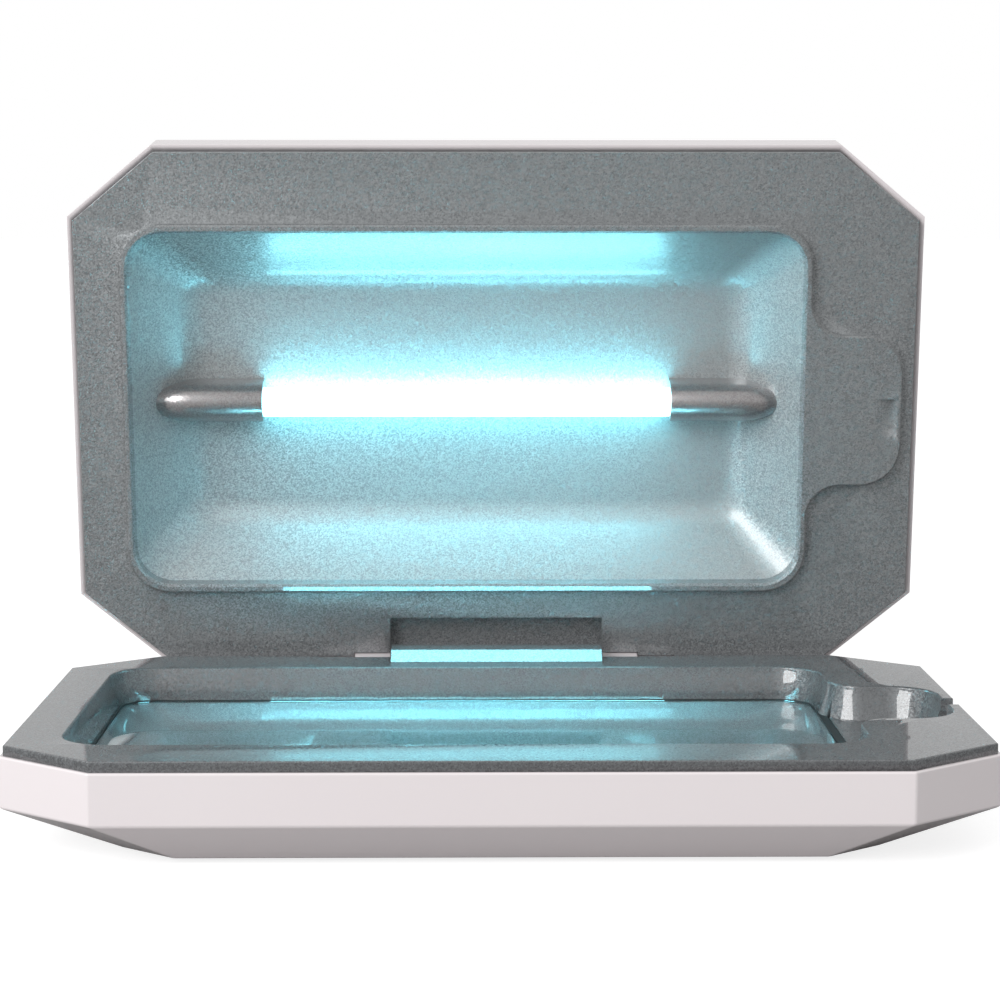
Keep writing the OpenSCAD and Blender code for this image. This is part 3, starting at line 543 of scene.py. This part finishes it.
def mottled(name, colour, roughness, metallic=0.0, size=1.0 * MM, spread=0.12, bump_depth=0.0):
    """A finish whose colour wanders a little, with an optional fine grain."""
    material, tree, shader = finish_of(name)
    place = add(tree, "ShaderNodeTexCoord")
    noise = add(tree, "ShaderNodeTexNoise", {"Vector": place.outputs["Object"]}, Scale=1 / size, Detail=3)
    tone = add(tree, "ShaderNodeMix", {"Factor": noise.outputs["Fac"]}, data_type="RGBA")
    base = linear(colour)
    tone.inputs[6].default_value = tuple(c * (1 - spread) for c in base[:3]) + (1,)
    tone.inputs[7].default_value = tuple(min(1, c * (1 + spread)) for c in base[:3]) + (1,)
    tree.links.new(shader.inputs["Base Color"], tone.outputs[2])
    gloss = add(tree, "ShaderNodeMapRange", {"Value": noise.outputs["Fac"]},
                To_Min=roughness - 0.05, To_Max=roughness + 0.05)
    tree.links.new(shader.inputs["Roughness"], gloss.outputs["Result"])
    shader.inputs["Metallic"].default_value = metallic
    if bump_depth:
        bump = add(tree, "ShaderNodeBump", {"Height": noise.outputs["Fac"]}, Distance=bump_depth, Strength=0.6)
        tree.links.new(shader.inputs["Normal"], bump.outputs["Normal"])
    return material


boot_silicone = mottled("black silicone boots", "#24272a", 0.6, size=0.5 * MM, bump_depth=0.01 * MM)
dressed(("base_lamp_boots", "lid_lamp_boots"), boot_silicone)

# ---- Feet ----
# Four soft pads with rounded corners are stuck under the corners of the base. They are moulded
# in pale grey rubber with a fine matt grain.
PAD_RADIUS = 0.2 * MM
pad_rubber = mottled("pale grey rubber", "#c6c5c7", 0.6, size=0.4 * MM, bump_depth=0.02 * MM)
for row in ("front", "back"):
    for hand in ("left", "right"):
        softened(f"pad_{row}_{hand}", f"foot_{row}_{hand}", BASE, "base", pad_rubber, PAD_RADIUS,
                 lambda middle, edge: middle.z < 0.05 * MM, 2)

# ---- Hinge pins and washers ----
# Ground steel pins are pressed into the base's knuckles, with black nylon washers in the gaps.
pin_steel = mottled("ground steel", "#aeb0b4", 0.28, metallic=1.0, size=0.3 * MM, spread=0.08)
washer_nylon = mottled("black nylon washer", "#2b2b2d", 0.5, size=0.5 * MM)
dressed(("hinge_pin_left", "hinge_pin_right"), pin_steel)
dressed(("hinge_washers",), washer_nylon)

# ---- Boards ----
# The ballast and the charger stand on glass-fibre boards with green solder mask. The tracks show
# as paler lines under the mask, about a millimetre and a half apart.
TRACK_PITCH = 1.5 * MM
board_mask, tree, shader = finish_of("green solder mask over copper tracks")
place = add(tree, "ShaderNodeTexCoord")
tracks = add(tree, "ShaderNodeTexBrick", {"Vector": place.outputs["Object"]}, Scale=1 / TRACK_PITCH,
             Mortar_Size=0.12, Mortar_Smooth=0.3)
tracks.inputs["Color1"].default_value = linear("#1c5f3e")
tracks.inputs["Color2"].default_value = linear("#1f6b45")
tracks.inputs["Mortar"].default_value = linear("#3c8a5c")
tree.links.new(shader.inputs["Base Color"], tracks.outputs["Color"])
shader.inputs["Roughness"].default_value = 0.32
dressed(("driver_board", "charging_board", "lid_sensor_board", "indicator_board"), board_mask)

# ---- Windings, capacitors, sockets and plugs ----
# Two small transformers wound in enamelled copper, two black capacitors, a black barrel inlet,
# two nickel-plated sockets with black tongues, and white nylon plugs on the leads.
WIRE_PITCH = 0.35 * MM
copper_wire, tree, shader = finish_of("enamelled copper windings")
place = add(tree, "ShaderNodeTexCoord")
turns = add(tree, "ShaderNodeTexWave", {"Vector": place.outputs["Object"]}, bands_direction="X",
            Scale=2 * math.pi / (20 * WIRE_PITCH))
tone = add(tree, "ShaderNodeMix", {"Factor": turns.outputs["Fac"]}, data_type="RGBA")
tone.inputs[6].default_value = linear("#7d4420")
tone.inputs[7].default_value = linear("#b8743a")
tree.links.new(shader.inputs["Base Color"], tone.outputs[2])
ridge = add(tree, "ShaderNodeBump", {"Height": turns.outputs["Fac"]}, Distance=0.1 * MM)
tree.links.new(shader.inputs["Normal"], ridge.outputs["Normal"])
shader.inputs["Metallic"].default_value = 0.8
shader.inputs["Roughness"].default_value = 0.3
dressed(("driver_transformers",), copper_wire)
black_nylon = mottled("black glass-filled nylon", "#232528", 0.42, size=0.6 * MM, bump_depth=0.01 * MM)
dressed(("driver_capacitors", "power_inlet"), black_nylon)
nickel = mottled("nickel plate", "#b9bbbe", 0.24, metallic=1.0, size=0.8 * MM, spread=0.06)
dressed(("usb_socket_a", "usb_socket_c"), nickel)
dressed(("wire_connectors",), mottled("natural nylon", "#e3ded2", 0.45, size=0.8 * MM, spread=0.05))
dressed(("base_wiring", "lid_wiring"), mottled("silicone sleeving", "#dcd6c6", 0.5, size=2 * MM, spread=0.06))

# ---- Magnets, catch plates and indicator ----
# Nickel-plated magnets in the lid meet steel plates in the base, and a clear light pipe carries
# the indicator's light through the lid's skin.
dressed(("lid_magnets", "catch_plates"), nickel)
light_pipe, tree, shader = finish_of("frosted light pipe")
shader.inputs["Base Color"].default_value = linear("#d9f2f4")
shader.inputs["Transmission Weight"].default_value = 0.5
place = add(tree, "ShaderNodeTexCoord")
frost = add(tree, "ShaderNodeTexNoise", {"Vector": place.outputs["Object"]}, Scale=3000)
haze = add(tree, "ShaderNodeMapRange", {"Value": frost.outputs["Fac"]}, To_Min=0.25, To_Max=0.4)
tree.links.new(shader.inputs["Roughness"], haze.outputs["Result"])
dressed(("indicator_lens",), light_pipe)

# ---- Screws ----
# Cross-headed zinc-plated screws. Five long ones clamp the base's shell to its frame from below,
# shorter ones hold the boards and the two pans.
zinc = mottled("zinc-plated steel", "#b4b7bc", 0.35, metallic=1.0, size=0.5 * MM, spread=0.1)


def screw_tree(material):
    """Puts a cross-headed screw, head down, on every point of the geometry it is given."""
    group = bpy.data.node_groups.new("screws on points", "GeometryNodeTree")
    face = group.interface
    face.new_socket(name="Geometry", in_out="INPUT", socket_type="NodeSocketGeometry")
    for name in ("Head Radius", "Head Height", "Shank Radius", "Length"):
        face.new_socket(name=name, in_out="INPUT", socket_type="NodeSocketFloat")
    face.new_socket(name="Geometry", in_out="OUTPUT", socket_type="NodeSocketGeometry")
    given = group.nodes.new("NodeGroupInput")
    result = group.nodes.new("NodeGroupOutput")

    def scaled(name, factor):
        made = add(group, "ShaderNodeMath", operation="MULTIPLY")
        group.links.new(made.inputs[0], given.outputs[name])
        made.inputs[1].default_value = factor
        return made.outputs[0]

    def lifted(geometry, height):
        place = add(group, "ShaderNodeCombineXYZ", {"Z": height})
        moved = add(group, "GeometryNodeTransform", {"Geometry": geometry, "Translation": place.outputs[0]})
        return moved.outputs[0]

    head = add(group, "GeometryNodeMeshCone", {
        "Radius Bottom": scaled("Head Radius", 0.86), "Radius Top": given.outputs["Head Radius"],
        "Depth": given.outputs["Head Height"]}, Vertices=32)
    head = lifted(head.outputs["Mesh"], scaled("Head Height", -1))
    slots = []
    for long_side, short_side in (("X", "Y"), ("Y", "X")):
        size = add(group, "ShaderNodeCombineXYZ", {
            long_side: scaled("Head Radius", 1.3), short_side: scaled("Head Radius", 0.26),
            "Z": scaled("Head Height", 1.0)})
        bar = add(group, "GeometryNodeMeshCube", {"Size": size.outputs[0]})
        slots.append(lifted(bar.outputs["Mesh"], scaled("Head Height", -1)))
    cut = group.nodes.new("GeometryNodeMeshBoolean")
    cut.operation = "DIFFERENCE"
    group.links.new(cut.inputs["Mesh 1"], head)
    for slot_bar in slots:
        group.links.new(cut.inputs["Mesh 2"], slot_bar)
    shank = add(group, "GeometryNodeMeshCylinder", {
        "Radius": given.outputs["Shank Radius"], "Depth": given.outputs["Length"]}, Vertices=20)
    shank = lifted(shank.outputs["Mesh"], scaled("Length", 0.5))
    whole = group.nodes.new("GeometryNodeJoinGeometry")
    group.links.new(whole.inputs[0], cut.outputs["Mesh"])
    group.links.new(whole.inputs[0], shank)
    placed = add(group, "GeometryNodeInstanceOnPoints", {
        "Points": given.outputs["Geometry"], "Instance": whole.outputs[0]})
    solid = add(group, "GeometryNodeRealizeInstances", {"Geometry": placed.outputs[0]})
    painted = add(group, "GeometryNodeSetMaterial", {"Geometry": solid.outputs[0]})
    painted.inputs["Material"].default_value = material
    group.links.new(result.inputs[0], painted.outputs[0])
    return group


screws_on_points = screw_tree(zinc)


def screwed(name, node, spots, sizes, place, body):
    """A set of equal screws at (x, y, z) spots, standing for its CAD node."""
    points = bpy.data.meshes.new(name)
    points.from_pydata(spots, [], [])
    holder = put(name, points)
    modifier = holder.modifiers.new("screws", "NODES")
    modifier.node_group = screws_on_points
    sockets = [item for item in screws_on_points.interface.items_tree if item.in_out == "INPUT"]
    inputs = {item.name: item.identifier for item in sockets}
    for label, value in sizes.items():
        modifier[inputs[label]] = value
    bpy.context.view_layer.update()
    mesh = bpy.data.meshes.new_from_object(holder.evaluated_get(bpy.context.evaluated_depsgraph_get()))
    holder.modifiers.clear()
    mesh.transform(place)
    if place.determinant() < 0:
        mesh.flip_normals()
    holder.data = mesh
    mesh.shade_smooth()
    mesh.set_sharp_from_angle(angle=math.radians(30))
    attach(holder, body)
    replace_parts(holder, node)


CASE_ROW = 54.7 * MM
CASE_SEAT = 3.4 * MM
CASE_SIZES = {"Head Radius": 2.4 * MM, "Head Height": 1.5 * MM, "Shank Radius": 1.1 * MM, "Length": 12.8 * MM}
case_spots = [(x * MM, BASE_Y - CASE_ROW, CASE_SEAT) for x in (-60, 0, 60)]
case_spots += [(x * MM, BASE_Y + CASE_ROW, CASE_SEAT) for x in (-46, 46)]
screwed("case_screws", "housing_screws", case_spots, CASE_SIZES, BASE, "base")
dressed(("base_reflector_screws", "board_screws", "lid_reflector_screws"), zinc)
